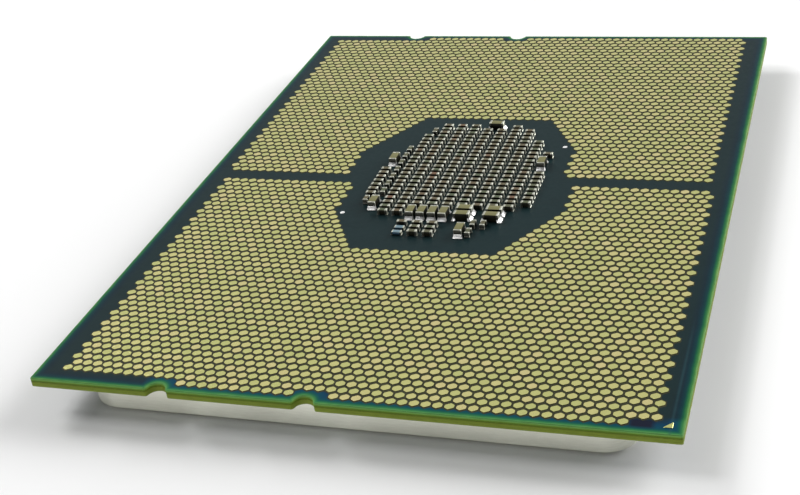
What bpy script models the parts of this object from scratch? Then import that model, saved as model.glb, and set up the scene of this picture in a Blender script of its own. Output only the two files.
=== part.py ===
"""A land-grid server processor, lying on its lid with the contact lands facing up.

The frame: the origin is the middle of the lid's outer face, which lies on the table at z = 0.
+Y runs along the package's long side, +X along its short side and +Z from the lid to the lands.
Sizes are written in millimetres times MM, and Blender works in metres.

From the table up: the lid, its sealant, the die with its solder and underfill inside the lid,
the five layers of the substrate, and on top of that the lands and the capacitors.
"""

import math

import bmesh
import bpy

MM = 0.001

# Substrate outline, seen from the land side.
SUBSTRATE_WIDTH = 56.5 * MM
SUBSTRATE_LENGTH = 76.0 * MM
CORNER_RADIUS = 0.35 * MM
NOTCH_CENTRES = (-16.05 * MM, -2.6 * MM)
NOTCH_RADIUS = 0.93 * MM
NOTCH_DEPTH = 0.9 * MM
NOTCH_MOUTH_RADIUS = 0.3 * MM
MASK_PULL_BACK = 0.05 * MM

# Heights of what is stacked on the table, with the bond line modelled as an open gap.
BOND_GAP = 0.01 * MM
LID_HEIGHT = 2.86 * MM
SEALANT_HEIGHT = 0.12 * MM
MASK_THICKNESS = 0.03 * MM
BUILDUP_THICKNESS = 0.20 * MM
CORE_THICKNESS = 0.40 * MM
LAND_THICKNESS = 0.025 * MM

# Lid: a stamped cup with a flat rim round the cavity that holds the die.
LID_WIDTH = 48.8 * MM
LID_LENGTH = 73.0 * MM
LID_CORNER = 3.0 * MM
LID_EDGE_ROUND = 0.5 * MM
CAVITY_WIDTH = 40.8 * MM
CAVITY_LENGTH = 62.0 * MM
CAVITY_CORNER = 2.5 * MM
SEALANT_INSET = 0.8 * MM
SEALANT_WIDTH = 2.4 * MM
VENT_GAP = 2.0 * MM

# Die stack inside the lid.
DIE_WIDTH = 22.0 * MM
DIE_LENGTH = 31.5 * MM
DIE_THICKNESS = 0.775 * MM
UNDERFILL_THICKNESS = 0.07 * MM
UNDERFILL_MARGIN = 0.7 * MM
SOLDER_THICKNESS = 0.25 * MM
SOLDER_MARGIN = 0.3 * MM
DIE_SIDE_BANK_X = 15.5 * MM
DIE_SIDE_BANK_Y = 7.4 * MM
DIE_SIDE_BANK_COUNT = 8

# Land grid: rows of staggered lands in two halves, the rear a half turn of the front.
LAND_PITCH = 0.9906 * MM
LAND_ROW_PITCH = 0.8585 * MM
LAND_ROWS_PER_HALF = 43
FIRST_ROW_Y = 0.8407 * MM
LAND_HALF_WIDTH = 0.45 * MM
LAND_HALF_LENGTH = 0.42 * MM
LANDS_HALF_SPAN = 26.0 * MM
CAVITY_SIDE_X = 12.13 * MM
CAVITY_END_X = 8.17 * MM
CAVITY_END_ROW = 15
CAVITY_CORNER_ROW = 7

# Capacitor sizes: length, width, height.
SMALL_CHIP = (1.0 * MM, 0.5 * MM, 0.5 * MM)
LARGE_CHIP = (1.6 * MM, 0.8 * MM, 0.8 * MM)
RESISTOR_CHIP = (1.0 * MM, 0.5 * MM, 0.32 * MM)
CHIP_PAD_HEIGHT = 0.05 * MM
TERMINATION_SHARE = 0.24
TERMINATION_PROUD = 0.012 * MM

# The array of small capacitors: x of the columns, then the first and last row of each.
ARRAY_COLUMN_X = -5.73 * MM
ARRAY_COLUMN_PITCH = 1.573 * MM
ARRAY_ROW_Y = 0.32 * MM
ARRAY_ROW_PITCH = 0.8664 * MM
ARRAY_ROWS = (
    (-9, 10),
    (-9, 13),
    (-7, 13),
    (-7, 13),
    (-7, 12),
    (-7, 12),
    (-7, 13),
    (-7, 12),
    (-7, 9),
    (-6, 1),
)
LEFT_COLUMN_X = -8.17 * MM
LEFT_COLUMN_ROWS = (-5, 1)
UPPER_RIGHT_ROW = 6
LENGTHWISE_COLUMN = (-6.93 * MM, -3.48 * MM)
LENGTHWISE_PITCH = 1.553 * MM
LENGTHWISE_COUNT = 7
LOWER_BLOCK_X = (-3.02 * MM, -1.44 * MM, 0.12 * MM)
LOWER_BLOCK_Y = -9.5 * MM
LOWER_BLOCK_PITCH = 0.87 * MM

# Single small capacitors whose long side runs along Y.
SMALL_SINGLES = {
    "upper_left_small_capacitor": (-5.36 * MM, 10.27 * MM),
    "lower_left_small_capacitor": (-8.23 * MM, -5.25 * MM),
    "lower_right_small_capacitor_1": (4.19 * MM, -9.20 * MM),
    "lower_right_small_capacitor_2": (5.18 * MM, -9.20 * MM),
    "lower_right_small_capacitor_3": (4.10 * MM, -10.79 * MM),
}

# Large capacitors: x, y, and whether the long side runs along Y.
LARGE_CAPACITORS = {
    "large_capacitor_row_1": (-2.68 * MM, -7.58 * MM, True),
    "large_capacitor_row_2": (-1.53 * MM, -7.58 * MM, True),
    "large_capacitor_row_3": (-0.40 * MM, -7.58 * MM, True),
    "large_capacitor_row_4": (0.76 * MM, -7.58 * MM, True),
    "large_capacitor_upper_left": (-7.93 * MM, 3.44 * MM, True),
    "large_capacitor_upper_right": (8.23 * MM, 3.49 * MM, True),
    "large_capacitor_lower_left": (-7.15 * MM, -5.94 * MM, True),
    "large_capacitor_lower_middle": (3.20 * MM, -10.60 * MM, True),
    "large_capacitor_top": (1.29 * MM, 11.90 * MM, False),
    "large_capacitor_left_pair_upper": (2.69 * MM, -6.78 * MM, False),
    "large_capacitor_left_pair_lower": (2.71 * MM, -7.92 * MM, False),
    "large_capacitor_right_pair_upper": (5.72 * MM, -6.78 * MM, False),
    "large_capacitor_right_pair_lower": (5.71 * MM, -7.92 * MM, False),
}

# Marks on the land side.
PIN_ONE_CORNER = (27.35 * MM, -37.20 * MM)
PIN_ONE_LEG = 0.75 * MM
FIDUCIALS = {"left_fiducial": (-10.05 * MM, -7.58 * MM), "right_fiducial": (9.71 * MM, 7.99 * MM)}
FIDUCIAL_RADIUS = 0.24 * MM

ARC_STEPS = 6


def stack_levels():
    """The lowest and highest z of each layer, from the table up."""
    levels = {"lid": (0.0, LID_HEIGHT)}
    top = LID_HEIGHT
    for layer, thickness in (
        ("sealant", SEALANT_HEIGHT),
        ("die_side_mask", MASK_THICKNESS),
        ("die_side_buildup", BUILDUP_THICKNESS),
        ("core", CORE_THICKNESS),
        ("land_side_buildup", BUILDUP_THICKNESS),
        ("land_side_mask", MASK_THICKNESS),
        ("lands", LAND_THICKNESS),
    ):
        low = top + BOND_GAP
        top = low + thickness
        levels[layer] = (low, top)
    hung = levels["die_side_mask"][0]
    for layer, thickness in (
        ("underfill", UNDERFILL_THICKNESS),
        ("die", DIE_THICKNESS),
        ("die_solder", SOLDER_THICKNESS),
    ):
        high = hung - BOND_GAP
        hung = high - thickness
        levels[layer] = (hung, high)
    levels["cavity_roof"] = (hung - BOND_GAP, hung - BOND_GAP)
    return levels


LEVELS = stack_levels()
CHIP_BASE = LEVELS["land_side_mask"][1] + BOND_GAP


def clear_scene():
    for old in list(bpy.data.objects):
        bpy.data.objects.remove(old, do_unlink=True)


def new_collection(name):
    collection = bpy.data.collections.new(name)
    bpy.context.scene.collection.children.link(collection)
    return collection


def new_material(name, colour, roughness, metallic=0.0):
    made = bpy.data.materials.new(name)
    made.use_nodes = True
    shader = made.node_tree.nodes["Principled BSDF"]
    shader.inputs["Base Color"].default_value = (*colour, 1.0)
    shader.inputs["Roughness"].default_value = roughness
    shader.inputs["Metallic"].default_value = metallic
    made.diffuse_color = (*colour, 1.0)
    return made


def make_materials():
    return {
        "mask": new_material("mask", (0.03, 0.07, 0.10), 0.45),
        "buildup": new_material("buildup", (0.16, 0.27, 0.08), 0.55),
        "core": new_material("core", (0.20, 0.20, 0.07), 0.65),
        "gold": new_material("gold", (0.66, 0.58, 0.33), 0.35, 1.0),
        "nickel": new_material("nickel", (0.62, 0.60, 0.55), 0.38, 1.0),
        "sealant": new_material("sealant", (0.02, 0.02, 0.02), 0.6),
        "silicon": new_material("silicon", (0.10, 0.11, 0.13), 0.15),
        "underfill": new_material("underfill", (0.05, 0.05, 0.06), 0.5),
        "solder": new_material("solder", (0.60, 0.61, 0.63), 0.3, 1.0),
        "ceramic": new_material("ceramic", (0.30, 0.25, 0.20), 0.5),
        "resistor": new_material("resistor", (0.35, 0.45, 0.50), 0.4),
    }


def arc(centre, radius, start, end, steps=ARC_STEPS):
    """Points on a circle from one angle to another, in degrees, both ends included."""
    points = []
    for step in range(steps + 1):
        angle = math.radians(start + (end - start) * step / steps)
        points.append((centre[0] + radius * math.cos(angle), centre[1] + radius * math.sin(angle)))
    return points


def rounded_rectangle(width, length, radius, steps=ARC_STEPS):
    """A rectangle about the origin with round corners, anticlockwise from its lower right corner."""
    across = width / 2 - radius
    along = length / 2 - radius
    points = []
    for start, (side_x, side_y) in zip((-90, 0, 90, 180), ((1, -1), (1, 1), (-1, 1), (-1, -1))):
        points += arc((side_x * across, side_y * along), radius, start, start + 90, steps)
    return points


def substrate_outline(inset):
    """The package outline with two locating notches in the front edge and two in the rear edge."""
    half_width = SUBSTRATE_WIDTH / 2 - inset
    half_length = SUBSTRATE_LENGTH / 2 - inset
    radius = CORNER_RADIUS
    front = []
    for centre in sorted(NOTCH_CENTRES):
        front += notch_outline(centre, inset)
    points = arc((-half_width + radius, -half_length + radius), radius, 180, 270, 3)
    points += front
    points += arc((half_width - radius, -half_length + radius), radius, 270, 360, 3)
    points += arc((half_width - radius, half_length - radius), radius, 0, 90, 3)
    points += [(x, -y) for x, y in reversed(front)]
    points += arc((-half_width + radius, half_length - radius), radius, 90, 180, 3)
    return points


def notch_outline(centre, inset):
    """One notch of the front edge, from left to right, with round corners at its mouth."""
    middle_y = -SUBSTRATE_LENGTH / 2 + NOTCH_DEPTH - NOTCH_RADIUS
    mouth_y = -SUBSTRATE_LENGTH / 2 + NOTCH_MOUTH_RADIUS
    reach = NOTCH_RADIUS + NOTCH_MOUTH_RADIUS
    rise = math.degrees(math.asin((mouth_y - middle_y) / reach))
    mouth_x = reach * math.cos(math.radians(rise))
    mouth_radius = NOTCH_MOUTH_RADIUS - inset
    points = arc((centre - mouth_x, mouth_y), mouth_radius, -90, -rise, 3)
    points += arc((centre, middle_y), NOTCH_RADIUS + inset, 180 - rise, rise)
    return points + arc((centre + mouth_x, mouth_y), mouth_radius, 180 + rise, 270, 3)


def row_y(row):
    """The y of a row of the front half, with row 0 next to the middle of the package."""
    return -FIRST_ROW_Y - row * LAND_ROW_PITCH


def land_field_outline(edge_tabs):
    """The outline of the front half's lands. The row along the front edge stands only on edge_tabs."""
    side = LANDS_HALF_SPAN + LAND_HALF_WIDTH
    last_full_row = LAND_ROWS_PER_HALF - 2
    front = row_y(last_full_row) - LAND_HALF_LENGTH
    tab_front = front - LAND_ROW_PITCH
    inner = row_y(0) + LAND_HALF_LENGTH
    left_inner = row_y(1) + LAND_HALF_LENGTH
    cavity_side = CAVITY_SIDE_X + LAND_HALF_WIDTH / 2
    cavity_end = CAVITY_END_X + LAND_HALF_WIDTH / 2
    corner_y = row_y(CAVITY_CORNER_ROW)
    end_y = row_y(CAVITY_END_ROW) - LAND_HALF_LENGTH
    points = [(-side, front)]
    for low, high in edge_tabs:
        points += [(low, front), (low, tab_front), (high, tab_front), (high, front)]
    points += [(side, front), (side, inner), (cavity_side, inner), (cavity_side, corner_y)]
    points += [(cavity_end, end_y), (-cavity_end, end_y), (-cavity_side, corner_y)]
    points += [(-cavity_side, left_inner), (-side, left_inner)]
    return points


def half_turn(points):
    return [(-x, -y) for x, y in points]


def comb_profile(rows, pitch, start, depth, base, top):
    """Side view of a row of chips on one strip: (along the row, up) points, anticlockwise."""
    low = min(rows)
    high = max(rows)
    strip_top = base + CHIP_PAD_HEIGHT
    first = start + low * pitch - depth / 2
    last = start + high * pitch + depth / 2
    points = [(first, base), (last, base)]
    for row in range(high, low - 1, -1):
        middle = start + row * pitch
        if row < high:
            points.append((middle + depth / 2, strip_top))
        points.append((middle + depth / 2, top))
        points.append((middle - depth / 2, top))
        if row > low:
            points.append((middle - depth / 2, strip_top))
    return points


def chip_outline(length, width):
    """Plan of a chip whose two metal ends stand a little proud of its body, long side along X."""
    half = length / 2
    body = half - length * TERMINATION_SHARE
    wide = width / 2
    narrow = wide - TERMINATION_PROUD
    right = [(half, -wide), (half, wide), (body, wide), (body, narrow)]
    left = [(-body, narrow), (-body, wide), (-half, wide), (-half, -wide)]
    return right + left + [(-body, -wide), (-body, -narrow), (body, -narrow), (body, -wide)]


def mesh_of_outlines(name, outlines, thickness):
    """A closed mesh of a flat outline, with any further outlines as holes, centred on its plane."""
    curve = bpy.data.curves.new(name, "CURVE")
    curve.dimensions = "2D"
    curve.fill_mode = "BOTH"
    curve.extrude = thickness / 2
    for outline in outlines:
        spline = curve.splines.new("POLY")
        spline.points.add(len(outline) - 1)
        for point, (x, y) in zip(spline.points, outline):
            point.co = (x, y, 0.0, 1.0)
        spline.use_cyclic_u = True
    source = bpy.data.objects.new(name + "_outline", curve)
    bpy.context.scene.collection.objects.link(source)
    graph = bpy.context.evaluated_depsgraph_get()
    mesh = bpy.data.meshes.new_from_object(source.evaluated_get(graph))
    bpy.data.objects.remove(source, do_unlink=True)
    bpy.data.curves.remove(curve)
    mesh.name = name
    work = bmesh.new()
    work.from_mesh(mesh)
    bmesh.ops.remove_doubles(work, verts=work.verts, dist=1e-7)
    bmesh.ops.recalc_face_normals(work, faces=work.faces)
    work.to_mesh(mesh)
    work.free()
    return mesh


def place(name, mesh, material, collection, location=(0.0, 0.0, 0.0), rotation=(0.0, 0.0, 0.0)):
    mesh.materials.clear()
    mesh.materials.append(material)
    made = bpy.data.objects.new(name, mesh)
    made.location = location
    made.rotation_euler = rotation
    collection.objects.link(made)
    return made


def plate(name, outlines, level, material, collection):
    """A flat piece with the given outlines, from the low to the high z of its level."""
    low, high = level
    mesh = mesh_of_outlines(name, outlines, high - low)
    return place(name, mesh, material, collection, location=(0.0, 0.0, (low + high) / 2))


def cut(target, cutter):
    cutter.hide_render = True
    cutter.display_type = "WIRE"
    modifier = target.modifiers.new("cut_" + cutter.name, "BOOLEAN")
    modifier.operation = "DIFFERENCE"
    modifier.solver = "EXACT"
    modifier.object = cutter


def make_substrate(materials, parts):
    full = [substrate_outline(0.0)]
    masked = [substrate_outline(MASK_PULL_BACK)]
    for name, outlines, level, material in (
        ("die_side_solder_mask", masked, "die_side_mask", "mask"),
        ("die_side_buildup", full, "die_side_buildup", "buildup"),
        ("substrate_core", full, "core", "core"),
        ("land_side_buildup", full, "land_side_buildup", "buildup"),
        ("land_side_solder_mask", masked, "land_side_mask", "mask"),
    ):
        plate(name, outlines, LEVELS[level], materials[material], parts)


def make_lands(materials, parts):
    """Each half's lands as one thin slab with the outline of the land field."""
    front_tabs = ((-14.55 * MM, -3.85 * MM), (-0.70 * MM, 24.0 * MM))
    rear_tabs = ((-25.45 * MM, 1.2 * MM), (4.25 * MM, 14.05 * MM))
    front = land_field_outline(front_tabs)
    rear = half_turn(land_field_outline(rear_tabs))
    plate("front_land_field", [front], LEVELS["lands"], materials["gold"], parts)
    plate("rear_land_field", [rear], LEVELS["lands"], materials["gold"], parts)


def make_marks(materials, parts):
    corner_x, corner_y = PIN_ONE_CORNER
    triangle = [(corner_x, corner_y), (corner_x, corner_y + PIN_ONE_LEG), (corner_x - PIN_ONE_LEG, corner_y)]
    plate("pin_one_marker", [triangle], LEVELS["lands"], materials["gold"], parts)
    for name, centre in FIDUCIALS.items():
        disc = arc(centre, FIDUCIAL_RADIUS, 0, 345, 23)
        plate(name, [disc], LEVELS["lands"], materials["gold"], parts)


def make_lid(materials, parts, cutters):
    """A plate with a round outer edge, and a cavity cut from its rim side."""
    outline = rounded_rectangle(LID_WIDTH, LID_LENGTH, LID_CORNER)
    lid = plate("heat_spreader", [outline], LEVELS["lid"], materials["nickel"], parts)
    work = bmesh.new()
    work.from_mesh(lid.data)
    outer_edges = []
    for edge in work.edges:
        at_face = all(vertex.co.z < -LID_HEIGHT / 2 * 0.99 for vertex in edge.verts)
        meets_wall = any(abs(face.normal.z) < 0.5 for face in edge.link_faces)
        if at_face and meets_wall:
            outer_edges.append(edge)
    bmesh.ops.bevel(
        work,
        geom=outer_edges,
        offset=LID_EDGE_ROUND,
        segments=3,
        profile=0.5,
        affect="EDGES",
    )
    work.to_mesh(lid.data)
    work.free()
    cavity = rounded_rectangle(CAVITY_WIDTH, CAVITY_LENGTH, CAVITY_CORNER, 4)
    roof = LEVELS["cavity_roof"][0]
    past_rim = LID_HEIGHT + SEALANT_HEIGHT
    cutter = plate("lid_cavity_cutter", [cavity], (roof, past_rim), materials["nickel"], cutters)
    cut(lid, cutter)


def make_sealant(materials, parts, cutters):
    """The bead between the lid's rim and the substrate, left open at one vent in the rear."""
    width = LID_WIDTH - 2 * SEALANT_INSET
    length = LID_LENGTH - 2 * SEALANT_INSET
    outer = rounded_rectangle(width, length, LID_CORNER - SEALANT_INSET, 4)
    inner = rounded_rectangle(width - 2 * SEALANT_WIDTH, length - 2 * SEALANT_WIDTH, 0.6 * MM, 4)
    bead = plate("lid_sealant", [outer, inner], LEVELS["sealant"], materials["sealant"], parts)
    middle = length / 2 - SEALANT_WIDTH / 2
    gap = [(-VENT_GAP / 2, middle - SEALANT_WIDTH), (VENT_GAP / 2, middle - SEALANT_WIDTH)]
    gap += [(VENT_GAP / 2, middle + SEALANT_WIDTH), (-VENT_GAP / 2, middle + SEALANT_WIDTH)]
    low, high = LEVELS["sealant"]
    past = (low - SEALANT_HEIGHT, high + SEALANT_HEIGHT)
    cut(bead, plate("vent_cutter", [gap], past, materials["sealant"], cutters))


def make_die(materials, parts):
    for name, margin, level, material in (
        ("thermal_solder", SOLDER_MARGIN, "die_solder", "solder"),
        ("silicon_die", 0.0, "die", "silicon"),
        ("die_underfill", UNDERFILL_MARGIN, "underfill", "underfill"),
    ):
        outline = rounded_rectangle(DIE_WIDTH + 2 * margin, DIE_LENGTH + 2 * margin, 0.3 * MM, 2)
        plate(name, [outline], LEVELS[level], materials[material], parts)


def comb(name, x, rows, pitch, start, size, across, materials, parts):
    """A column of small chips on one strip. The column runs along Y, at the given x."""
    depth = size[1] if across else size[0]
    width = size[0] if across else size[1]
    top = CHIP_BASE + CHIP_PAD_HEIGHT + size[2]
    profile = comb_profile(rows, pitch, start, depth, CHIP_BASE, top)
    mesh = mesh_of_outlines(name, [profile], width)
    turned = (math.pi / 2, 0.0, math.pi / 2)
    place(name, mesh, materials["ceramic"], parts, location=(x, 0.0, 0.0), rotation=turned)


def make_array(materials, parts):
    for number, rows in enumerate(ARRAY_ROWS):
        x = ARRAY_COLUMN_X + number * ARRAY_COLUMN_PITCH
        name = f"array_column_{number + 1:02d}"
        comb(name, x, rows, ARRAY_ROW_PITCH, ARRAY_ROW_Y, SMALL_CHIP, True, materials, parts)
    comb(
        "array_left_column",
        LEFT_COLUMN_X,
        LEFT_COLUMN_ROWS,
        ARRAY_ROW_PITCH,
        ARRAY_ROW_Y,
        SMALL_CHIP,
        True,
        materials,
        parts,
    )
    x, start = LENGTHWISE_COLUMN
    rows = (0, LENGTHWISE_COUNT - 1)
    comb(
        "array_lengthwise_column", x, rows, LENGTHWISE_PITCH, start, SMALL_CHIP, False, materials, parts
    )
    for name, x in zip(("middle", "right"), LOWER_BLOCK_X[1:]):
        comb(
            f"lower_block_{name}_column",
            x,
            (-2, 0),
            LOWER_BLOCK_PITCH,
            LOWER_BLOCK_Y,
            SMALL_CHIP,
            True,
            materials,
            parts,
        )


def chip(name, x, y, size, lengthwise, material, parts):
    """One chip on its own pads, long side along Y when lengthwise."""
    length, width, height = size
    mesh = mesh_of_outlines(name, [chip_outline(length, width)], height)
    middle = CHIP_BASE + CHIP_PAD_HEIGHT + height / 2
    turn = math.pi / 2 if lengthwise else 0.0
    place(name, mesh, material, parts, location=(x, y, middle), rotation=(0.0, 0.0, turn))


def make_single_chips(materials, parts):
    ceramic = materials["ceramic"]
    for name, (x, y) in SMALL_SINGLES.items():
        chip(name, x, y, SMALL_CHIP, True, ceramic, parts)
    for name, (x, y, lengthwise) in LARGE_CAPACITORS.items():
        chip(name, x, y, LARGE_CHIP, lengthwise, ceramic, parts)
    right_x = ARRAY_COLUMN_X + (len(ARRAY_ROWS) - 1) * ARRAY_COLUMN_PITCH
    right_y = ARRAY_ROW_Y + UPPER_RIGHT_ROW * ARRAY_ROW_PITCH
    chip("upper_right_small_capacitor", right_x, right_y, SMALL_CHIP, False, ceramic, parts)
    left_x = LOWER_BLOCK_X[0]
    chip("lower_block_left_capacitor", left_x, LOWER_BLOCK_Y, SMALL_CHIP, False, ceramic, parts)
    for number in (1, 2):
        y = LOWER_BLOCK_Y - number * LOWER_BLOCK_PITCH
        chip(f"blue_resistor_{number}", left_x, y, RESISTOR_CHIP, False, materials["resistor"], parts)


def make_die_side_banks(materials, parts):
    """Four short columns of small capacitors beside the die, hanging from the substrate into the lid."""
    high = LEVELS["die_side_mask"][0] - BOND_GAP
    low = high - CHIP_PAD_HEIGHT - SMALL_CHIP[2]
    rows = (0, DIE_SIDE_BANK_COUNT - 1)
    span = (DIE_SIDE_BANK_COUNT - 1) * ARRAY_ROW_PITCH
    for side_name, side in (("left", -1), ("right", 1)):
        for end_name, end in (("front", -1), ("rear", 1)):
            start = end * DIE_SIDE_BANK_Y - span / 2
            profile = comb_profile(rows, ARRAY_ROW_PITCH, start, SMALL_CHIP[1], 0.0, high - low)
            hanging = [(along, high - up) for along, up in reversed(profile)]
            name = f"die_side_capacitors_{end_name}_{side_name}"
            mesh = mesh_of_outlines(name, [hanging], SMALL_CHIP[0])
            turned = (math.pi / 2, 0.0, math.pi / 2)
            where = (side * DIE_SIDE_BANK_X, 0.0, 0.0)
            place(name, mesh, materials["ceramic"], parts, location=where, rotation=turned)


def main():
    clear_scene()
    parts = new_collection("land_grid_processor")
    cutters = new_collection("cutters")
    materials = make_materials()
    make_lid(materials, parts, cutters)
    make_sealant(materials, parts, cutters)
    make_die(materials, parts)
    make_die_side_banks(materials, parts)
    make_substrate(materials, parts)
    make_lands(materials, parts)
    make_marks(materials, parts)
    make_array(materials, parts)
    make_single_chips(materials, parts)


main()
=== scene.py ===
"""The looks of a land-grid server processor that lies on its lid with the contact lands facing up.

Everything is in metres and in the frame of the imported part: the origin is the middle of the
lid's outer face, +X runs across the package, +Y along it and +Z up to the lands.
"""

import math
import random

import bmesh
import bpy
import numpy as np
from mathutils import Matrix, Vector

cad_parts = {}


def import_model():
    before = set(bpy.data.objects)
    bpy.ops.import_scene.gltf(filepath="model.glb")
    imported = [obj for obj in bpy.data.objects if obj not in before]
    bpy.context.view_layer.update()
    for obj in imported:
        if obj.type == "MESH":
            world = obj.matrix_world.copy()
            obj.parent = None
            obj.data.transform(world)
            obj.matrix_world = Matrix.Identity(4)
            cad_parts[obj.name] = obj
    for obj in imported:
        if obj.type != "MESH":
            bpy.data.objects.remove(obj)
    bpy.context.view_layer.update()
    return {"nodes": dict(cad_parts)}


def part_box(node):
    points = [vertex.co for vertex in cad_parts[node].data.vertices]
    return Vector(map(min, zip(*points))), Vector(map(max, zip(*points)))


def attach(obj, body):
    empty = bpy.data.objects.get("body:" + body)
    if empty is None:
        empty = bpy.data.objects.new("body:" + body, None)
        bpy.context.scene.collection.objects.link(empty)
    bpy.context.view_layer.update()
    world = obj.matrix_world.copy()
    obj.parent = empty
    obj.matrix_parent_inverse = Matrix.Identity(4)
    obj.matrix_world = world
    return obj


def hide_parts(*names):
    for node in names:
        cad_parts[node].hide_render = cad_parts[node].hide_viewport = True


MM = 0.001
SEED = 20

# Camera: its place in millimetres, and the directions of image right, image down and view.
CAMERA_PLACE = (40.777, -118.641, 70.131)
CAMERA_RIGHT = (0.95420643, 0.27657209, -0.11400862)
CAMERA_DOWN = (0.04135899, -0.49941787, -0.86537346)
CAMERA_FORWARD = (-0.29627609, 0.82102964, -0.48798649)
CAMERA_LENS = 61.6
CAMERA_SHIFT = (-0.0544, -0.0406)

LIGHT_DISTANCE = 1.5
WORLD_STRENGTH = 0.1
FLOOR_HALF_WIDTH = 4.0

# Substrate outline.
CORNER_RADIUS = 0.18 * MM
NOTCH_CENTRES = (-16.05 * MM, -2.6 * MM)
NOTCH_RADIUS = 0.93 * MM
NOTCH_DEPTH = 0.9 * MM
NOTCH_MOUTH_RADIUS = 0.3 * MM

# Distance from an edge, in millimetres, over which the solder mask changes colour.
MASK_GLOW_REACH = 1.4

# Lid: its outer face stands proud of the edge by a small step.
LID_CORNER = 3.0 * MM
LID_STEP = 0.24 * MM
LID_STEP_INSET = 1.4 * MM
LID_STEP_ROUND = 0.05 * MM
LID_EDGE_ROUND = 0.12 * MM
LID_LIP = 0.06 * MM
LID_CAVITY = (40.8 * MM, 62.0 * MM)
LID_CAVITY_CORNER = 2.5 * MM
ARC_STEPS = 14

# Sealant bead, with its vent in the rear.
SEALANT_WIDTH = 2.4 * MM
SEALANT_VENT = 2.0 * MM
SEALANT_STEP = 0.6 * MM

# Lands: hexagons with round corners, in staggered rows. The three apothems face 0, 60 and 120 degrees.
LAND_PITCH = 0.9906 * MM
ROWS_PER_HALF = 43
LAND_APOTHEMS = (0.402 * MM, 0.378 * MM, 0.325 * MM)
LAND_CORNER = 0.14 * MM
LAND_BEVEL = 0.005 * MM
LAND_MARGIN = 0.42 * MM
RIM_APOTHEM = 0.494 * MM
RIM_HEIGHT = 0.004 * MM
RIM_LIFT = 0.001 * MM
MARK_BEVEL = 0.012 * MM

# Chips: the bodies stand this far above the mask, and the metal ends wrap this share of each side.
CHIP_LIFT = 0.05 * MM
SMALL_END_SHARE = 0.23
LARGE_END_SHARE = 0.14
END_PROUD = 0.014 * MM
END_ROUND = 0.05 * MM
BODY_ROUND = 0.02 * MM
SMALL_CHIP_WIDTH = 0.5 * MM
ARRAY_PITCH = 0.8664 * MM
LENGTHWISE_PITCH = 1.553 * MM


# Node helpers


def linear(red, green, blue):
    """A display colour from 0 to 255 as linear RGBA."""
    made = []
    for value in (red, green, blue):
        share = value / 255
        made.append(share / 12.92 if share <= 0.04045 else ((share + 0.055) / 1.055) ** 2.4)
    return (*made, 1.0)


def put(tree, socket, value):
    """Gives a socket a constant, or joins another node's output to it."""
    if isinstance(value, bpy.types.NodeSocket):
        tree.links.new(value, socket)
    else:
        socket.default_value = value


def add(tree, kind, inputs=None, **settings):
    node = tree.nodes.new(kind)
    for key, value in settings.items():
        setattr(node, key, value)
    for socket, value in (inputs or {}).items():
        put(tree, node.inputs[socket], value)
    return node


def maths(tree, operation, first, second=0.0, clamp=False):
    inputs = {0: first, 1: second}
    return add(tree, "ShaderNodeMath", inputs, operation=operation, use_clamp=clamp).outputs[0]


def mix_colours(tree, share, first, second, blend="MIX"):
    node = add(tree, "ShaderNodeMix", data_type="RGBA", blend_type=blend)
    put(tree, node.inputs[0], share)
    put(tree, node.inputs[6], first)
    put(tree, node.inputs[7], second)
    return node.outputs[2]


def ramp(tree, value, stops):
    """A colour ramp with (position, colour) stops."""
    node = add(tree, "ShaderNodeValToRGB", {0: value})
    elements = node.color_ramp.elements
    while len(elements) > 1:
        elements.remove(elements[-1])
    elements[0].position = stops[0][0]
    elements[0].color = stops[0][1]
    for position, colour in stops[1:]:
        elements.new(position).color = colour
    return node.outputs[0]


def span(tree, value, low, high, to_low=0.0, to_high=1.0):
    """Maps low..high to to_low..to_high, clamped."""
    inputs = {0: value, 1: low, 2: high, 3: to_low, 4: to_high}
    return add(tree, "ShaderNodeMapRange", inputs, clamp=True).outputs[0]


def place_in_mm(tree):
    """The shaded point in millimetres, in the part's frame."""
    coordinates = add(tree, "ShaderNodeTexCoord").outputs["Object"]
    inputs = {0: coordinates, 1: (1000, 1000, 1000)}
    return add(tree, "ShaderNodeVectorMath", inputs, operation="MULTIPLY").outputs[0]


def between(tree, value, low, high, soft):
    """1 where value lies between low and high, falling to 0 over a soft margin at each end."""
    rise = span(tree, value, low - soft, low + soft)
    fall = span(tree, value, high - soft, high + soft, 1.0, 0.0)
    return maths(tree, "MULTIPLY", rise, fall)


def upright(tree):
    """1 on a vertical face, 0 on a level one."""
    normal = add(tree, "ShaderNodeNewGeometry").outputs["Normal"]
    level = maths(tree, "ABSOLUTE", add(tree, "ShaderNodeSeparateXYZ", {0: normal}).outputs[2])
    return span(tree, level, 0.3, 0.75, 1.0, 0.0)


def facing_along(tree):
    """1 on a face that looks along the package, forward or back, and 0 on the rest."""
    normal = add(tree, "ShaderNodeNewGeometry").outputs["Normal"]
    forward = maths(tree, "ABSOLUTE", add(tree, "ShaderNodeSeparateXYZ", {0: normal}).outputs[1])
    return span(tree, forward, 0.6, 0.85)


def noise(tree, place, scale, detail=3.0, roughness=0.5, stretch=(1, 1, 1)):
    """Noise from 0 to 1, with scale in features per millimetre."""
    stretched = add(tree, "ShaderNodeMapping", {"Vector": place, "Scale": stretch}).outputs[0]
    inputs = {"Vector": stretched, "Scale": scale, "Detail": detail, "Roughness": roughness}
    return add(tree, "ShaderNodeTexNoise", inputs).outputs[0]


def bump(tree, height, depth):
    """Surface relief of the given depth in metres."""
    return add(tree, "ShaderNodeBump", {"Height": height, "Distance": depth}).outputs[0]


def new_material(name):
    made = bpy.data.materials.new(name)
    made.use_nodes = True
    return made, made.node_tree, made.node_tree.nodes["Principled BSDF"]


# Materials


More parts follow.
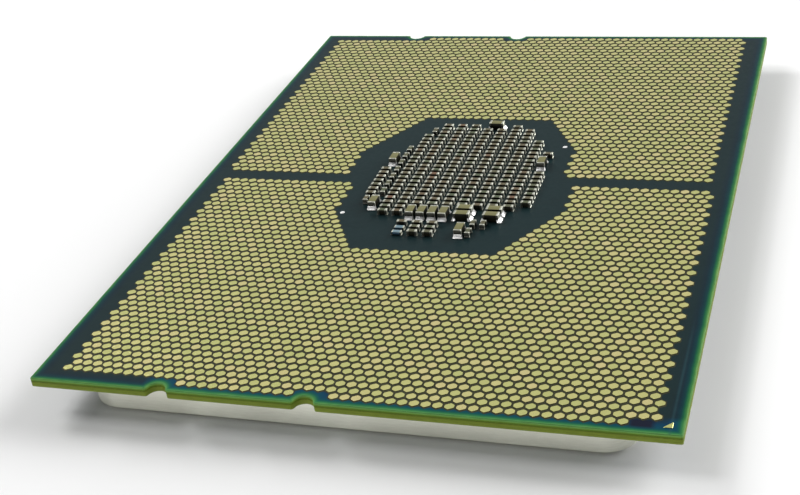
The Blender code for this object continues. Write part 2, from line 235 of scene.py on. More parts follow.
def gold_material():
    """Satin gold plate on the lands, each land with its own slight tint."""
    made, tree, shader = new_material("gold_plate")
    place = place_in_mm(tree)
    tint = add(tree, "ShaderNodeAttribute", attribute_name="tint").outputs["Fac"]
    each = ramp(
        tree,
        tint,
        [
            (0.0, (0.68, 0.71, 0.27, 1)),
            (0.45, (0.77, 0.76, 0.30, 1)),
            (0.8, (0.83, 0.78, 0.33, 1)),
            (1.0, (0.88, 0.77, 0.37, 1)),
        ],
    )
    cloud = span(tree, noise(tree, place, 1.6), 0.3, 0.7, 0.0, 0.35)
    colour = mix_colours(tree, cloud, each, (0.66, 0.62, 0.24, 1))
    # Painted shade: the upright sides of each land are darkened to hold back glints on them.
    colour = mix_colours(tree, upright(tree), colour, (0.12, 0.12, 0.05, 1))
    put(tree, shader.inputs["Base Color"], colour)
    put(tree, shader.inputs["Roughness"], span(tree, noise(tree, place, 3.0), 0.3, 0.7, 0.17, 0.29))
    put(tree, shader.inputs["Normal"], bump(tree, noise(tree, place, 7.0), 0.004 * MM))
    shader.inputs["Metallic"].default_value = 1.0
    return made


def rim_material():
    """The dark rim of mask and resin round each land."""
    made, tree, shader = new_material("land_rims")
    place = place_in_mm(tree)
    stops = [(0.3, linear(38, 38, 16)), (0.7, linear(52, 54, 30))]
    put(tree, shader.inputs["Base Color"], ramp(tree, noise(tree, place, 0.8), stops))
    put(tree, shader.inputs["Roughness"], span(tree, noise(tree, place, 4.0), 0.3, 0.7, 0.5, 0.7))
    shader.inputs["Specular IOR Level"].default_value = 0.2
    return made


def edge_distance(tree, place, low, high):
    """Millimetres from the shaded point to the nearest edge or notch of the substrate."""
    parts = add(tree, "ShaderNodeSeparateXYZ", {0: place})
    across = parts.outputs[0]
    along = maths(tree, "ABSOLUTE", parts.outputs[1])
    half_length = (high.y - low.y) / 2 / MM
    half_width = (high.x - low.x) / 2 / MM
    to_side = maths(tree, "SUBTRACT", half_width, maths(tree, "ABSOLUTE", across))
    nearest = maths(tree, "MINIMUM", to_side, maths(tree, "SUBTRACT", half_length, along))
    notch_along = half_length - (NOTCH_DEPTH - NOTCH_RADIUS) / MM
    line_square = maths(tree, "POWER", maths(tree, "SUBTRACT", along, notch_along), 2.0)
    for centre in NOTCH_CENTRES:
        beside = maths(tree, "SUBTRACT", across, centre / MM)
        squares = maths(tree, "ADD", maths(tree, "POWER", beside, 2.0), line_square)
        to_notch = maths(tree, "SUBTRACT", maths(tree, "SQRT", squares), NOTCH_RADIUS / MM)
        nearest = maths(tree, "MINIMUM", nearest, to_notch)
    return nearest


def edge_glow(tree, distance):
    """The mask's colour by distance from an edge: resin shows green where the copper stops short."""
    stops = [
        (0.00, linear(120, 160, 80)),
        (0.09, linear(60, 118, 62)),
        (0.22, linear(24, 88, 58)),
        (0.34, linear(14, 56, 58)),
        (0.50, linear(16, 45, 54)),
        (0.66, linear(22, 40, 48)),
        (1.00, linear(26, 43, 45)),
    ]
    return ramp(tree, maths(tree, "DIVIDE", distance, MASK_GLOW_REACH), stops)


def front_glow(tree, distance):
    """The same along the front edge, where the copper below leaves a blue strip."""
    stops = [
        (0.00, linear(100, 148, 84)),
        (0.14, linear(52, 116, 64)),
        (0.28, linear(20, 84, 68)),
        (0.44, linear(8, 66, 80)),
        (0.80, linear(10, 56, 82)),
        (1.00, linear(20, 48, 66)),
    ]
    return ramp(tree, maths(tree, "DIVIDE", distance, MASK_GLOW_REACH), stops)


def mask_material(low, high):
    """Dark blue-grey solder mask over copper, green near the edges, with a bare patch and one trace."""
    made, tree, shader = new_material("solder_mask")
    place = place_in_mm(tree)
    distance = edge_distance(tree, place, low, high)
    wander = span(tree, noise(tree, place, 0.5), 0.2, 0.8, -0.06, 0.06)
    distance = maths(tree, "ADD", distance, wander)
    parts = add(tree, "ShaderNodeSeparateXYZ", {0: place})
    across, along = parts.outputs[0], parts.outputs[1]
    right_of_notch = span(tree, across, -17.6, -16.6)
    in_strip = maths(tree, "MULTIPLY", span(tree, along, -35.9, -36.5), right_of_notch)
    glow = mix_colours(tree, in_strip, edge_glow(tree, distance), front_glow(tree, distance))
    beside_corner = between(tree, across, 24.0, 25.9, 0.25)
    patch = maths(tree, "MULTIPLY", beside_corner, between(tree, along, -37.4, -36.4, 0.2))
    glow = mix_colours(tree, patch, glow, linear(24, 28, 44))
    line = between(tree, across, 27.12, 27.32, 0.08)
    trace = maths(tree, "MULTIPLY", line, span(tree, along, -22.0, -28.0))
    glow = mix_colours(tree, maths(tree, "MULTIPLY", trace, 0.35), glow, linear(44, 78, 84))
    cloud = span(tree, noise(tree, place, 0.35), 0.3, 0.7, 0.0, 0.5)
    colour = mix_colours(tree, cloud, glow, linear(22, 36, 44), "MULTIPLY")
    colour = mix_colours(tree, span(tree, noise(tree, place, 1.1), 0.35, 0.65, 0.0, 0.25), glow, colour)
    put(tree, shader.inputs["Base Color"], colour)
    put(tree, shader.inputs["Roughness"], span(tree, noise(tree, place, 2.0), 0.3, 0.7, 0.28, 0.4))
    put(tree, shader.inputs["Normal"], bump(tree, noise(tree, place, 2.2), 0.004 * MM))
    shader.inputs["Specular IOR Level"].default_value = 0.06
    return made


def laminate_material(name, stops, grain):
    """The cut edge of a laminate: colours banded by height in millimetres, with fibre grain along it."""
    made, tree, shader = new_material(name)
    place = place_in_mm(tree)
    height = add(tree, "ShaderNodeSeparateXYZ", {0: place}).outputs[2]
    fibres = noise(tree, place, grain, detail=4.0, stretch=(1, 1, 6))
    shaken = maths(tree, "ADD", height, span(tree, fibres, 0.3, 0.7, -0.02, 0.02))
    low = stops[0][0]
    high = stops[-1][0]
    share = span(tree, shaken, low, high)
    bands = ramp(tree, share, [((level - low) / (high - low), colour) for level, colour in stops])
    long_grain = span(tree, noise(tree, place, 0.9, stretch=(1, 1, 3)), 0.35, 0.65, 0.0, 0.25)
    colour = mix_colours(tree, long_grain, bands, linear(84, 98, 26))
    put(tree, shader.inputs["Base Color"], colour)
    put(tree, shader.inputs["Roughness"], span(tree, fibres, 0.3, 0.7, 0.45, 0.7))
    put(tree, shader.inputs["Normal"], bump(tree, fibres, 0.012 * MM))
    shader.inputs["Specular IOR Level"].default_value = 0.15
    return made


def nickel_material():
    """Satin nickel plate with a faint stain and fine drawing lines along the wall."""
    made, tree, shader = new_material("nickel_plate")
    place = place_in_mm(tree)
    stain = span(tree, noise(tree, place, 0.09, detail=2.0), 0.35, 0.65)
    fine = noise(tree, place, 2.5, detail=5.0, stretch=(0.3, 0.3, 2.0))
    colour = mix_colours(tree, stain, (0.84, 0.84, 0.74, 1), (0.94, 0.945, 0.84, 1))
    colour = mix_colours(tree, span(tree, fine, 0.4, 0.7, 0.0, 0.15), colour, (0.50, 0.48, 0.42, 1))
    put(tree, shader.inputs["Base Color"], colour)
    put(tree, shader.inputs["Roughness"], span(tree, fine, 0.3, 0.7, 0.42, 0.54))
    put(tree, shader.inputs["Normal"], bump(tree, fine, 0.006 * MM))
    shader.inputs["Metallic"].default_value = 1.0
    return made


def ceramic_material():
    """Fired ceramic, from olive grey to red brown by chip, with painted shade that darkens its sides."""
    made, tree, shader = new_material("capacitor_ceramic")
    place = place_in_mm(tree)
    tint = add(tree, "ShaderNodeAttribute", attribute_name="tint").outputs["Fac"]
    each = ramp(
        tree,
        tint,
        [
            (0.0, linear(84, 94, 72)),
            (0.3, linear(96, 94, 74)),
            (0.7, linear(102, 94, 74)),
            (0.84, linear(104, 90, 70)),
            (0.9, linear(116, 88, 70)),
            (1.0, linear(124, 122, 84)),
        ],
    )
    speckle = span(tree, noise(tree, place, 12.0), 0.35, 0.65, 0.0, 0.3)
    colour = mix_colours(tree, speckle, each, linear(72, 68, 54))
    # Painted shade: upright sides are made much darker than the tops.
    colour = mix_colours(tree, upright(tree), colour, linear(24, 24, 16))
    put(tree, shader.inputs["Base Color"], colour)
    put(tree, shader.inputs["Roughness"], span(tree, noise(tree, place, 9.0), 0.3, 0.7, 0.35, 0.5))
    put(tree, shader.inputs["Normal"], bump(tree, noise(tree, place, 14.0), 0.004 * MM))
    shader.inputs["Specular IOR Level"].default_value = 0.1
    return made


def resistor_material():
    """Pale blue glaze over a resistor's body."""
    made, tree, shader = new_material("resistor_glaze")
    place = place_in_mm(tree)
    stops = [(0.3, linear(96, 122, 132)), (0.7, linear(110, 138, 148))]
    glaze = ramp(tree, noise(tree, place, 3.0), stops)
    # Painted shade: the upright sides are a darker blue than the top.
    put(tree, shader.inputs["Base Color"], mix_colours(tree, upright(tree), glaze, linear(52, 78, 98)))
    put(tree, shader.inputs["Roughness"], span(tree, noise(tree, place, 8.0), 0.3, 0.7, 0.25, 0.4))
    return made


def metal_material(name, shades, roughness, grain, relief, metallic=1.0, front_shade=0.0):
    """A cloudy bare metal: (dark, light) shades, (least, most) roughness, grain per millimetre, relief
    and the share of painted shade that darkens its front and rear faces."""
    made, tree, shader = new_material(name)
    place = place_in_mm(tree)
    cloud = noise(tree, place, grain)
    bare = ramp(tree, cloud, [(0.3, shades[0]), (0.7, shades[1])])
    # Painted shade: faces that look forward or back are darkened by this share.
    front_shaded = mix_colours(tree, maths(tree, "MULTIPLY", facing_along(tree), front_shade), bare, linear(36, 36, 32))
    put(tree, shader.inputs["Base Color"], front_shaded)
    put(tree, shader.inputs["Roughness"], span(tree, cloud, 0.3, 0.7, *roughness))
    put(tree, shader.inputs["Normal"], bump(tree, noise(tree, place, grain * 2.5), relief))
    shader.inputs["Metallic"].default_value = metallic
    return made


def dull_material(name, shades, roughness, grain, relief):
    """A plain non-metal: (dark, light) shades in a fine cloud, with relief."""
    made, tree, shader = new_material(name)
    place = place_in_mm(tree)
    cloud = noise(tree, place, grain, detail=5.0)
    put(tree, shader.inputs["Base Color"], ramp(tree, cloud, [(0.3, shades[0]), (0.7, shades[1])]))
    put(tree, shader.inputs["Roughness"], span(tree, cloud, 0.3, 0.7, roughness - 0.1, roughness + 0.1))
    put(tree, shader.inputs["Normal"], bump(tree, cloud, relief))
    return made


def make_materials(low, high):
    """All the materials. The laminates' colours are listed by height in millimetres."""
    upper = [(3.60, linear(88, 116, 26)), (3.72, linear(98, 134, 50)), (3.90, linear(96, 158, 90))]
    middle = [
        (3.22, linear(114, 130, 46)),
        (3.38, linear(108, 124, 40)),
        (3.51, linear(99, 115, 31)),
        (3.555, linear(54, 70, 6)),
        (3.60, linear(86, 112, 22)),
        (3.68, linear(94, 124, 36)),
    ]
    lower = [(2.98, linear(124, 138, 60)), (3.10, linear(118, 132, 52)), (3.26, linear(114, 130, 46))]
    tin_shades = ((0.38, 0.39, 0.33, 1), (0.58, 0.59, 0.51, 1))
    solder_shades = ((0.86, 0.86, 0.85, 1), (0.95, 0.95, 0.94, 1))
    sealant_shades = ((0.010, 0.010, 0.011, 1), (0.025, 0.025, 0.027, 1))
    silicon_shades = ((0.045, 0.05, 0.065, 1), (0.07, 0.075, 0.09, 1))
    underfill_shades = ((0.02, 0.02, 0.025, 1), (0.04, 0.04, 0.05, 1))
    return {
        "gold": gold_material(),
        "rim": rim_material(),
        "mask": mask_material(low, high),
        "upper_laminate": laminate_material("upper_laminate", upper, 3.0),
        "core_laminate": laminate_material("core_laminate", middle, 4.0),
        "lower_laminate": laminate_material("lower_laminate", lower, 3.0),
        "nickel": nickel_material(),
        "ceramic": ceramic_material(),
        "resistor": resistor_material(),
        "tin": metal_material("tinned_ends", tin_shades, (0.44, 0.54), 6.0, 0.002 * MM, front_shade=0.9),
        "solder": metal_material("solder", solder_shades, (0.24, 0.36), 5.0, 0.003 * MM, metallic=0.4),
        "sealant": dull_material("sealant", sealant_shades, 0.55, 5.0, 0.01 * MM),
        "silicon": dull_material("silicon", silicon_shades, 0.2, 2.0, 0.001 * MM),
        "underfill": dull_material("underfill", underfill_shades, 0.5, 5.0, 0.01 * MM),
    }


# Outlines


def arc(centre, radius, start, end, steps):
    """Points on a circle from one angle to another, in degrees, both ends included."""
    points = []
    for step in range(steps + 1):
        angle = math.radians(start + (end - start) * step / steps)
        points.append((centre[0] + radius * math.cos(angle), centre[1] + radius * math.sin(angle)))
    return points


def rounded_rectangle(width, length, radius, steps, centre=(0.0, 0.0)):
    across = width / 2 - radius
    along = length / 2 - radius
    points = []
    for start, (side_x, side_y) in zip((-90, 0, 90, 180), ((1, -1), (1, 1), (-1, 1), (-1, -1))):
        middle = (centre[0] + side_x * across, centre[1] + side_y * along)
        points += arc(middle, radius, start, start + 90, steps)
    return points


def land_outline(inset):
    """A land's hexagon at an inset, with round corners of three points each."""
    corner = LAND_CORNER - inset
    points = []
    for turn in range(6):
        start = turn * 60
        reach = LAND_APOTHEMS[turn % 3] - LAND_CORNER
        next_reach = LAND_APOTHEMS[(turn + 1) % 3] - LAND_CORNER
        centre = meeting(start, reach, next_reach)
        points += arc(centre, corner, start, start + 60, 2)
    return points


def meeting(angle, reach, next_reach):
    """Where two lines meet: one faces the angle at a reach from the origin, the next 60 degrees on."""
    turn = math.radians(angle)
    ahead = turn + math.radians(60)
    scale = math.sin(math.radians(60))
    x = (reach * math.sin(ahead) - next_reach * math.sin(turn)) / scale
    y = (next_reach * math.cos(turn) - reach * math.cos(ahead)) / scale
    return x, y


def plain_hexagon(apothem):
    reach = apothem / math.cos(math.radians(30))
    return arc((0.0, 0.0), reach, 30, 330, 5)


def substrate_outline(low, high, inset):
    """The package outline, with two notches in the front edge and two in the rear edge."""
    half_width = (high.x - low.x) / 2 - inset
    half_length = (high.y - low.y) / 2 - inset
    radius = CORNER_RADIUS
    front = []
    for centre in sorted(NOTCH_CENTRES):
        front += notch_outline(centre, low.y, inset)
    points = arc((-half_width + radius, -half_length + radius), radius, 180, 270, 8)
    points += front
    points += arc((half_width - radius, -half_length + radius), radius, 270, 360, 8)
    points += arc((half_width - radius, half_length - radius), radius, 0, 90, 8)
    points += [(x, -y) for x, y in reversed(front)]
    points += arc((-half_width + radius, half_length - radius), radius, 90, 180, 8)
    return points


def notch_outline(centre, front_y, inset):
    """One notch of the front edge, from left to right, with round corners at its mouth."""
    middle_y = front_y + NOTCH_DEPTH - NOTCH_RADIUS
    mouth_y = front_y + NOTCH_MOUTH_RADIUS
    reach = NOTCH_RADIUS + NOTCH_MOUTH_RADIUS
    rise = math.degrees(math.asin((mouth_y - middle_y) / reach))
    mouth_x = reach * math.cos(math.radians(rise))
    mouth_radius = NOTCH_MOUTH_RADIUS - inset
    points = arc((centre - mouth_x, mouth_y), mouth_radius, -90, -rise, 8)
    points += arc((centre, middle_y), NOTCH_RADIUS + inset, 180 - rise, rise, 28)
    return points + arc((centre + mouth_x, mouth_y), mouth_radius, 180 + rise, 270, 8)


# Meshes


def stack(rings):
    """Points and faces of a closed solid that joins rings, each (outline, z), with the same count."""
    count = len(rings[0][0])
    points = [(x, y, z) for outline, z in rings for x, y in outline]
    faces = [tuple(reversed(range(count)))]
    for level in range(len(rings) - 1):
        base = level * count
        for step in range(count):
            ahead = (step + 1) % count
            faces.append((base + step, base + ahead, base + count + ahead, base + count + step))
    top = (len(rings) - 1) * count
    faces.append(tuple(range(top, top + count)))
    return points, faces


def copies(shape, places, tints=None):
    """Many copies of (points, faces), one at each matrix, and the tint of each point."""
    points, faces = shape
    base = np.array([(*point, 1.0) for point in points])
    all_points = []
    all_faces = []
    all_tints = []
    for number, place in enumerate(places):
        placed = base @ np.array(place).T
        offset = number * len(points)
        all_points.append(placed[:, :3])
        all_faces += [tuple(index + offset for index in face) for face in faces]
        all_tints += [tints[number] if tints else 0.5] * len(points)
    return np.concatenate(all_points), all_faces, all_tints


def piece(name, mesh_data, material, replaced=(), smooth_angle=40):
    """A mesh object that rides on the part. mesh_data is (points, faces) or (points, faces, tints)."""
    mesh = bpy.data.meshes.new(name)
    mesh.from_pydata([tuple(point) for point in mesh_data[0]], [], mesh_data[1])
    if len(mesh_data) == 3:
        mesh.attributes.new("tint", "FLOAT", "POINT").data.foreach_set("value", mesh_data[2])
    mesh.materials.append(material)
    mesh.shade_smooth()
    mesh.set_sharp_from_angle(angle=math.radians(smooth_angle))
    made = bpy.data.objects.new(name, mesh)
    bpy.context.scene.collection.objects.link(made)
    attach(made, "root")
    if replaced:
        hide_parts(*replaced)
    return made


def rounded_box(size, radius, segments=2):
    """Points and faces of a box about the origin with rounded edges."""
    work = bmesh.new()
    bmesh.ops.create_cube(work, size=1.0)
    bmesh.ops.scale(work, vec=size, verts=work.verts)
    bmesh.ops.bevel(
        work, geom=list(work.edges), offset=radius, segments=segments, profile=0.5, affect="EDGES"
    )
    work.verts.index_update()
    points = [tuple(vertex.co) for vertex in work.verts]
    faces = [tuple(vertex.index for vertex in face.verts) for face in work.faces]
    work.free()
    return points, faces


# Substrate


def plate(name, node, outline_at, bevel, material, low_z, high_z):
    """A flat layer with softened edges in place of a CAD node. outline_at gives its outline at an inset."""
    rings = [
        (outline_at(bevel), low_z),
        (outline_at(0.0), low_z + bevel),
        (outline_at(0.0), high_z - bevel),
        (outline_at(bevel), high_z),
    ]
    return piece(name, stack(rings), material, (node,), 30)


def make_substrate(materials):
    low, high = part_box("substrate_core")
    mask_low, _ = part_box("land_side_solder_mask")
    pull_back = mask_low.x - low.x
    for node, material, slot, inset, bevel in (
        ("die_side_solder_mask", "mask", "solder_mask", pull_back, 0.010 * MM),
        ("die_side_buildup", "lower_laminate", "buildup_laminate", 0.0, 0.012 * MM),
        ("substrate_core", "core_laminate", "core_laminate", 0.0, 0.010 * MM),
        ("land_side_buildup", "upper_laminate", "buildup_laminate", 0.0, 0.012 * MM),
        ("land_side_solder_mask", "mask", "solder_mask", pull_back, 0.010 * MM),
    ):
        node_low, node_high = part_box(node)
        plate(
            node + "_layer",
            node,
            lambda extra, inset=inset: substrate_outline(low, high, inset + extra),
            bevel,
            materials[material],
            node_low.z,
            node_high.z,
        )


# Lands


def land_rows(edge_runs):
    """(column, row) of each land of the front half. A column is half a pitch and row 0 is the innermost.

    The last row stands only on the column runs of edge_runs."""
    found = []
    for row in range(ROWS_PER_HALF):
        odd = row % 2
        columns = range(-50 - odd, 53 + odd, 2)
        left_last = -min(30 - row, 22 + odd)
        right_first = min(32 - row, 26 + odd)
        for column in columns:
            if row == 0 and column < right_first:
                continue
            if row < 16 and left_last < column < right_first:
                continue
            if row == ROWS_PER_HALF - 1 and not any(first <= column <= last for first, last in edge_runs):
                continue
            found.append((column, row))
    return found


def make_lands(materials):
    draw = random.Random(SEED)
    land = stack_land()
    rim = stack([(plain_hexagon(RIM_APOTHEM), 0.0), (plain_hexagon(RIM_APOTHEM), RIM_HEIGHT)])
    low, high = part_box("front_land_field")
    row_pitch = (high.y - low.y - 2 * LAND_MARGIN) / (ROWS_PER_HALF - 1)
    first_row = -high.y + LAND_MARGIN
    _, mask_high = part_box("land_side_solder_mask")
    for half, turn, edge_runs in (
        ("front", 1, ((-28, -8), (0, 48))),
        ("rear", -1, ((-50, 2), (10, 28))),
    ):
        centres = []
        for column, row in land_rows(edge_runs):
            across = (column - 0.5) * LAND_PITCH / 2
            centres.append((turn * across, turn * (-first_row - row * row_pitch)))
        tints = [draw.random() for _ in centres]
        places = [Matrix.Translation((x, y, low.z)) for x, y in centres]
        node = f"{half}_land_field"
        piece(f"{half}_lands", copies(land, places, tints), materials["gold"], (node,), 15)
        rims = [Matrix.Translation((x, y, mask_high.z + RIM_LIFT)) for x, y in centres]
        piece(f"{half}_land_rims", copies(rim, rims), materials["rim"])


def stack_land():
    low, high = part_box("front_land_field")
    thickness = high.z - low.z
    outer = land_outline(0.0)
    inner = land_outline(LAND_BEVEL)
    return stack([(outer, 0.0), (outer, thickness * 0.55), (inner, thickness)])


def make_marks(materials):
    for node in ("left_fiducial", "right_fiducial"):
        low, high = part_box(node)
        middle = ((low.x + high.x) / 2, (low.y + high.y) / 2)
        radius = (high.y - low.y) / 2
        outer = arc(middle, radius, 0, 350, 35)
        inner = arc(middle, radius * 0.9, 0, 350, 35)
        rings = [(outer, low.z), (outer, high.z - MARK_BEVEL), (inner, high.z)]
        piece(node + "_dot", stack(rings), materials["solder"], (node,), 15)
    low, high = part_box("pin_one_marker")
    leg = high.x - low.x
    soft = 0.05 * MM
    outer = marker_outline(high.x, low.y, leg, soft, 0.0)
    inner = marker_outline(high.x, low.y, leg, soft, 0.02 * MM)
    rings = [(outer, low.z), (outer, high.z - MARK_BEVEL), (inner, high.z)]
    piece("pin_one_triangle", stack(rings), materials["gold"], ("pin_one_marker",), 15)


def marker_outline(right, front, leg, soft, inset):
    """A right triangle with its square corner at the right front, with round corners."""
    slant = soft * (1 + math.sqrt(2))
    radius = soft - inset
    points = arc((right - soft, front + leg - slant), radius, 0, 135, 4)
    points += arc((right - leg + slant, front + soft), radius, 135, 270, 4)
    return points + arc((right - soft, front + soft), radius, 270, 360, 4)


# Lid


def make_lid(materials):
    """The lid as one shell: raised outer face, step, wall, rim and the cavity over the die."""
    low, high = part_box("heat_spreader")
    solder_low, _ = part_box("thermal_solder")
    width = high.x - low.x
    length = high.y - low.y
    profile = [
        (LID_STEP_INSET + LID_STEP_ROUND, 0.0),
        (LID_STEP_INSET, LID_STEP_ROUND),
        (LID_STEP_INSET, LID_STEP),
    ]
    for step in range(7):
        angle = math.radians(90 * step / 6)
        across = LID_EDGE_ROUND * (1 - math.sin(angle))
        profile.append((across, LID_STEP + LID_EDGE_ROUND * (1 - math.cos(angle))))
    profile += [(0.0, high.z - LID_LIP), (LID_LIP, high.z)]
    rings = []
    for inset, z in profile:
        outline = rounded_rectangle(width - 2 * inset, length - 2 * inset, LID_CORNER - inset, ARC_STEPS)
        rings.append((outline, z))
    cavity = rounded_rectangle(*LID_CAVITY, LID_CAVITY_CORNER, ARC_STEPS)
    rings.append((cavity, high.z))
    rings.append((cavity, solder_low.z - 0.01 * MM))
    piece("lid_shell", stack(rings), materials["nickel"], ("heat_spreader",), 35)


def make_sealant(materials):
    """The sealant bead: a flat loop with round sides that wander a little, open at the rear vent."""
    low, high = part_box("lid_sealant")
    draw = random.Random(SEED)
    width = high.x - low.x - SEALANT_WIDTH
    length = high.y - low.y - SEALANT_WIDTH
    middle = rounded_rectangle(width, length, 1.0 * MM, 6)
    start = (-SEALANT_VENT / 2, length / 2)
    end = (SEALANT_VENT / 2, length / 2)
    route = resample([start] + turned_to(middle, start) + [end], SEALANT_STEP)
    thickness = high.z - low.z
    sections = []
    for number, (x, y) in enumerate(route):
        before = route[max(number - 1, 0)]
        after = route[min(number + 1, len(route) - 1)]
        away = Vector((after[1] - before[1], before[0] - after[0])).normalized()
        half = SEALANT_WIDTH / 2 - draw.uniform(0.05, 0.35) * MM
        ring = []
        for step in range(8):
            angle = math.radians(22.5 + 45 * step)
            side = half * (1 if math.cos(angle) > 0 else -1) * (1 if abs(math.cos(angle)) > 0.5 else 0.97)
            up = thickness / 2 * (1 + math.sin(angle) / math.sin(math.radians(67.5)))
            ring.append((x + away.x * side, y + away.y * side, low.z + up))
        sections.append(ring)
    points = [point for ring in sections for point in ring]
    faces = [tuple(range(8)), tuple(reversed(range(len(points) - 8, len(points))))]
    for number in range(len(sections) - 1):
        for step in range(8):
            ahead = (step + 1) % 8
            base = number * 8
            faces.append((base + step, base + 8 + step, base + 8 + ahead, base + ahead))
    piece("sealant_bead", (points, faces), materials["sealant"], ("lid_sealant",), 60)


def turned_to(loop, start):
    """The loop's points in order, beginning with the one that follows start when going anticlockwise."""
    angles = [(math.atan2(x, -y) - math.atan2(start[0], -start[1])) % (2 * math.pi) for x, y in loop]
    order = sorted(range(len(loop)), key=lambda index: angles[index])
    return [loop[index] for index in order]


def resample(route, step):
    """Points along a route, about one step apart."""
    found = [route[0]]
    for (x0, y0), (x1, y1) in zip(route, route[1:]):
        length = math.hypot(x1 - x0, y1 - y0)
        count = max(1, round(length / step))
        for number in range(1, count + 1):
            share = number / count
            found.append((x0 + (x1 - x0) * share, y0 + (y1 - y0) * share))
    return found


# Chips


def chip_shapes(length, width, height, end_share):
    """The body, ends and solder of a chip whose long side runs along X, standing on z = 0."""
    end = length * end_share
    tall = height - CHIP_LIFT
    middle = CHIP_LIFT + tall / 2
    body_size = (length - 2 * END_PROUD, width - 2 * END_PROUD, tall - 2 * END_PROUD)
    body = moved(rounded_box(body_size, BODY_ROUND), (0.0, 0.0, middle))
    ends = []
    solder = []
    for side in (-1, 1):
        cap = rounded_box((end, width, tall), END_ROUND, 3)
        ends.append(moved(cap, (side * (length - end) / 2, 0.0, middle)))
        solder.append(fillet(length, width, height, end, side))
    return body, merged(ends), merged(solder)


def fillet(length, width, height, end, side):
    """Solder that climbs a chip's metal end from its pad in a hollow curve."""
    large = width > 1.2 * SMALL_CHIP_WIDTH
    reach = 0.26 * MM if large else 0.05 * MM
    climb = height * (0.4 if large else 0.25)
    inner = length / 2 - end * 0.9
    rings = []
    for step in range(7):
        share = step / 6
        out = reach * (1 - share) ** 1.5
        beside = 0.3 * out
        far = length / 2 + out
        centre = (side * (inner + far) / 2, 0.0)
        outline = rounded_rectangle(far - inner, width + 2 * beside, 0.04 * MM + 0.3 * out, 3, centre)
        rings.append((outline, climb * share))
    return stack(rings)


def moved(shape, offset):
    points, faces = shape
    return [(x + offset[0], y + offset[1], z + offset[2]) for x, y, z in points], faces


def merged(shapes):
    points = []
    faces = []
    for shape_points, shape_faces in shapes:
        offset = len(points)
        points += shape_points
        faces += [tuple(index + offset for index in face) for face in shape_faces]
    return points, faces


def chip_places(node, pitch, hanging):
    """(size, places): a chip's length, width and height, and the matrix of each chip of a CAD node."""
    low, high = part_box(node)
    across = high.x - low.x
    along = high.y - low.y
    height = high.z - low.z
    if pitch is None:
        lengthwise = along > across
        count = 1
        width = min(across, along)
        length = max(across, along)
        first = (low.y + high.y) / 2
        pitch = 0.0
    else:
        lengthwise = across < 1.2 * SMALL_CHIP_WIDTH
        width = SMALL_CHIP_WIDTH
        length = 2 * width
        depth = length if lengthwise else width
        count = round((along - depth) / pitch) + 1
        pitch = (along - depth) / (count - 1)
        first = low.y + depth / 2
    middle = (low.x + high.x) / 2
    places = []
    for number in range(count):
        base = high.z if hanging else low.z
        place = Matrix.Translation((middle, first + number * pitch, base))
        if lengthwise:
            place = place @ Matrix.Rotation(math.pi / 2, 4, "Z")
        if hanging:
            place = place @ Matrix.Rotation(math.pi, 4, "X")
        places.append(place)
    return (length, width, height), places


def nudged(places, draw):
    """Each place with the small shift and turn that a placed chip has."""
    found = []
    for place in places:
        x = draw.uniform(-0.015, 0.015) * MM
        y = draw.uniform(-0.012, 0.012) * MM
        turn = math.radians(draw.uniform(-1.6, 1.6))
        found.append(place @ Matrix.Translation((x, y, 0.0)) @ Matrix.Rotation(turn, 4, "Z"))
    return found


def make_chips(node, materials, draw, pitch=None, hanging=False):
    """The chips of one CAD node as three pieces: bodies, metal ends and solder."""
    (length, width, height), places = chip_places(node, pitch, hanging)
    places = nudged(places, draw)
    large = width > 1.2 * SMALL_CHIP_WIDTH
    resistor = node.startswith("blue_resistor")
    end_share = LARGE_END_SHARE if large or resistor else SMALL_END_SHARE
    body, ends, solder = chip_shapes(length, width, height, end_share)
    widest = 0.3 if node == "array_lengthwise_column" else 0.9
    tints = [1.0 if large else draw.random() * widest for _ in places]
    body_material = materials["resistor" if resistor else "ceramic"]
    piece(node + "_body", copies(body, places, tints), body_material, (node,))
    piece(node + "_ends", copies(ends, places), materials["tin"])
    solder_material = materials["solder" if large else "tin"]
    piece(node + "_solder", copies(solder, places), solder_material)


def make_all_chips(materials, nodes):
    draw = random.Random(SEED + 1)
    for node in sorted(nodes):
        if node == "array_lengthwise_column":
            make_chips(node, materials, draw, LENGTHWISE_PITCH)
        elif node.startswith("die_side_capacitors"):
            make_chips(node, materials, draw, ARRAY_PITCH, hanging=True)
        elif node.endswith("column") or node.startswith("array_column"):
            make_chips(node, materials, draw, ARRAY_PITCH)
        elif "capacitor" in node or "resistor" in node:
            make_chips(node, materials, draw)


def finish_inner_nodes(nodes, materials):
    """Gives the CAD nodes that no piece replaces their materials."""
    for node, material in (
        ("silicon_die", "silicon"),
        ("thermal_solder", "solder"),
        ("die_underfill", "underfill"),
    ):
        nodes[node].data.materials.clear()
        nodes[node].data.materials.append(materials[material])


# Studio


def make_camera():
    data = bpy.data.cameras.new("camera")
    data.sensor_width = 36.0
    data.lens = CAMERA_LENS
    data.shift_x, data.shift_y = CAMERA_SHIFT
    data.clip_start = 0.005
    data.clip_end = 50.0
    camera = bpy.data.objects.new("camera", data)
    turn = Matrix((CAMERA_RIGHT, -Vector(CAMERA_DOWN), -Vector(CAMERA_FORWARD))).transposed()
    camera.matrix_world = Matrix.Translation(Vector(CAMERA_PLACE) * MM) @ turn.to_4x4()
    bpy.context.scene.collection.objects.link(camera)
    bpy.context.scene.camera = camera


def make_world():
    world = bpy.data.worlds.new("studio")
    world.use_nodes = True
    background = world.node_tree.nodes["Background"]
    background.inputs["Color"].default_value = (1.0, 1.0, 1.0, 1.0)
    background.inputs["Strength"].default_value = WORLD_STRENGTH
    bpy.context.scene.world = world
    bpy.context.scene.view_settings.view_transform = "Standard"


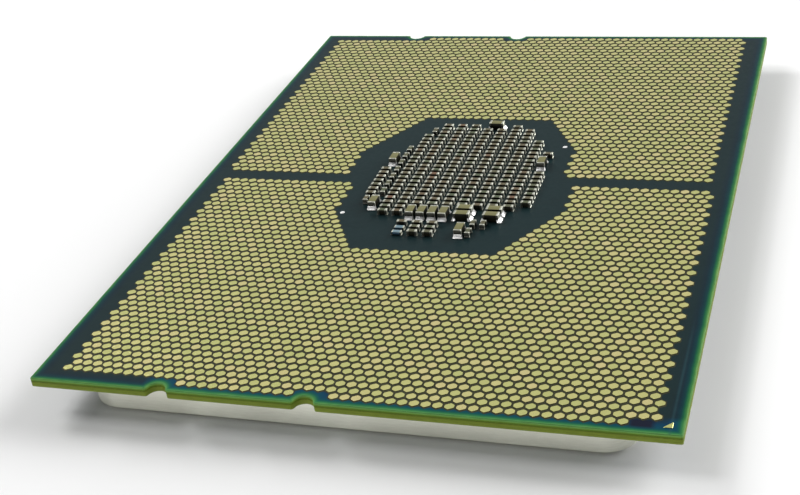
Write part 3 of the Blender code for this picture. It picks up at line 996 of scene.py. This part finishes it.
def make_light(name, azimuth, elevation, width, height, radiance):
    """A softbox that faces the object. Azimuth is in degrees anticlockwise from +X."""
    turn = math.radians(azimuth)
    rise = math.radians(elevation)
    towards = Vector((math.cos(rise) * math.cos(turn), math.cos(rise) * math.sin(turn), math.sin(rise)))
    data = bpy.data.lights.new(name, "AREA")
    data.shape = "RECTANGLE"
    data.size = width
    data.size_y = height
    data.energy = radiance * math.pi * width * height
    light = bpy.data.objects.new(name, data)
    light.location = towards * LIGHT_DISTANCE
    light.rotation_euler = towards.to_track_quat("Z", "Y").to_euler()
    bpy.context.scene.collection.objects.link(light)


def make_floor():
    made, tree, shader = new_material("floor")
    place = place_in_mm(tree)
    stops = [(0.3, (0.86, 0.86, 0.86, 1)), (0.7, (0.88, 0.88, 0.88, 1))]
    put(tree, shader.inputs["Base Color"], ramp(tree, noise(tree, place, 0.02), stops))
    shader.inputs["Roughness"].default_value = 0.9
    shader.inputs["Specular IOR Level"].default_value = 0.1
    half = FLOOR_HALF_WIDTH
    mesh = bpy.data.meshes.new("floor")
    corners = [(-half, -half, 0.0), (half, -half, 0.0), (half, half, 0.0), (-half, half, 0.0)]
    mesh.from_pydata(corners, [], [(0, 1, 2, 3)])
    mesh.materials.append(made)
    floor = bpy.data.objects.new("floor", mesh)
    bpy.context.scene.collection.objects.link(floor)


def make_studio():
    make_camera()
    make_world()
    make_floor()
    make_light("right_rear_softbox", 42.5, 18, 1.42, 1.42, 7.1)
    make_light("left_rear_softbox", 154, 37.5, 0.43, 0.43, 16.5)
    make_light("left_softbox", 182, 52, 0.53, 0.53, 8.0)
    make_light("rear_panel", 110, 30, 1.25, 1.25, 0.59)
    make_light("front_strip", 256, 3, 1.6, 0.12, 13.5)
    make_light("front_left_lamp", 238, 55, 0.2, 0.2, 6.0)


def main():
    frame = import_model()
    make_studio()
    low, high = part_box("substrate_core")
    materials = make_materials(low, high)
    make_substrate(materials)
    make_lands(materials)
    make_marks(materials)
    make_lid(materials)
    make_sealant(materials)
    make_all_chips(materials, frame["nodes"])
    finish_inner_nodes(frame["nodes"], materials)


main()
